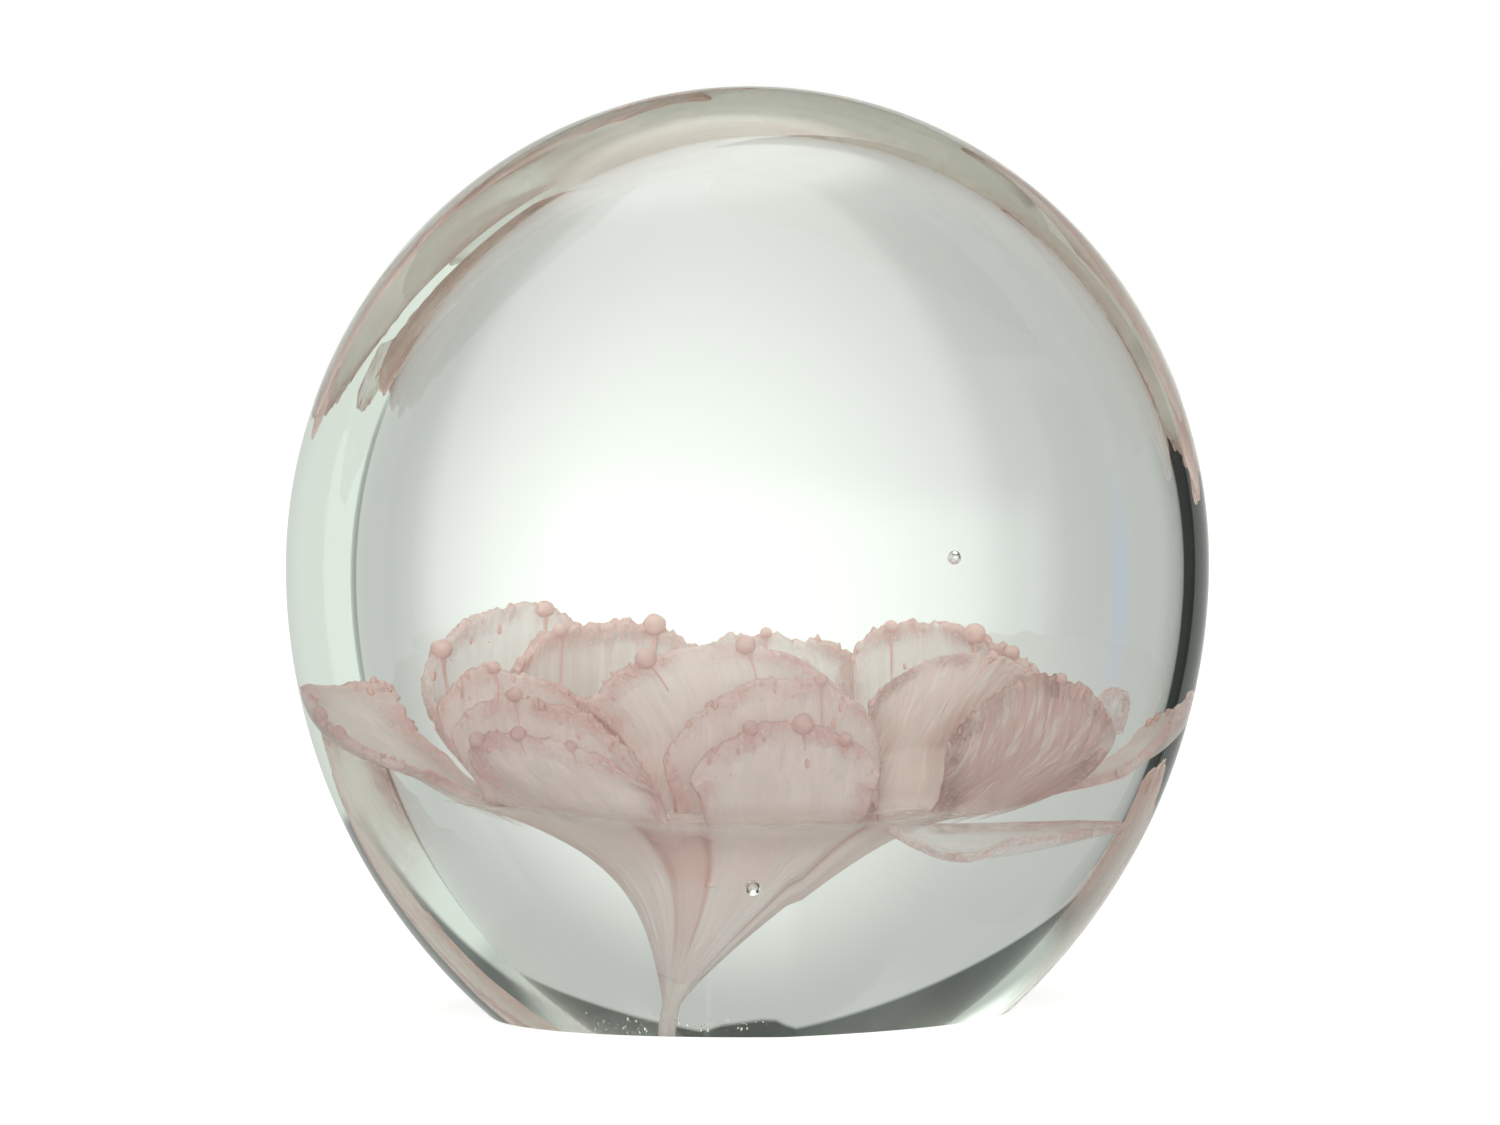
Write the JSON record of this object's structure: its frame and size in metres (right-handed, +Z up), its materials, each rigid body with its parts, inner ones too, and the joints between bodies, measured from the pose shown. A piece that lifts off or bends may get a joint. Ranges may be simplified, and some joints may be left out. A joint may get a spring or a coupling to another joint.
{
  "type": "paperweight",
  "caption": "Flattened ball of clear glass with a flat resting face, cased around a pale pink glass flower with ruffled petals and a trumpet, for holding paper down.",
  "frame": {"origin": "middle of the flat resting face", "axes": "+Z up, broad front of the ball faces -Y, +X to the viewer's right"},
  "size_m": [0.1, 0.058, 0.0995],
  "materials": {
    "clear_glass": "polished",
    "petal_glass": "satin, milky",
    "ribbed_petal_glass": "satin, ribbed",
    "trumpet_glass": "satin, milky",
    "stem_glass": "satin, milky",
    "bead_glass": "polished"
  },
  "bodies": {
    "root": {"glass_body": "clear_glass", "stem": "stem_glass", "trumpet": "trumpet_glass", "left_side_petal": "petal_glass", "right_side_petal": "petal_glass", "right_lower_petal": "petal_glass", "right_curl_petal": "petal_glass", "back_left_petal": "petal_glass", "back_inner_left_petal": "petal_glass", "back_centre_petal": "petal_glass", "back_right_petal": "petal_glass", "middle_left_petal": "petal_glass", "middle_centre_petal": "petal_glass", "middle_right_petal": "ribbed_petal_glass", "front_left_outer_petal": "petal_glass", "front_left_inner_petal": "petal_glass", "front_centre_outer_petal": "petal_glass", "front_centre_inner_petal": "petal_glass", "front_right_petal": "ribbed_petal_glass", "back_beads": "bead_glass", "middle_beads": "bead_glass", "front_beads": "bead_glass", "side_beads": "bead_glass"}
  },
  "joints": []
}
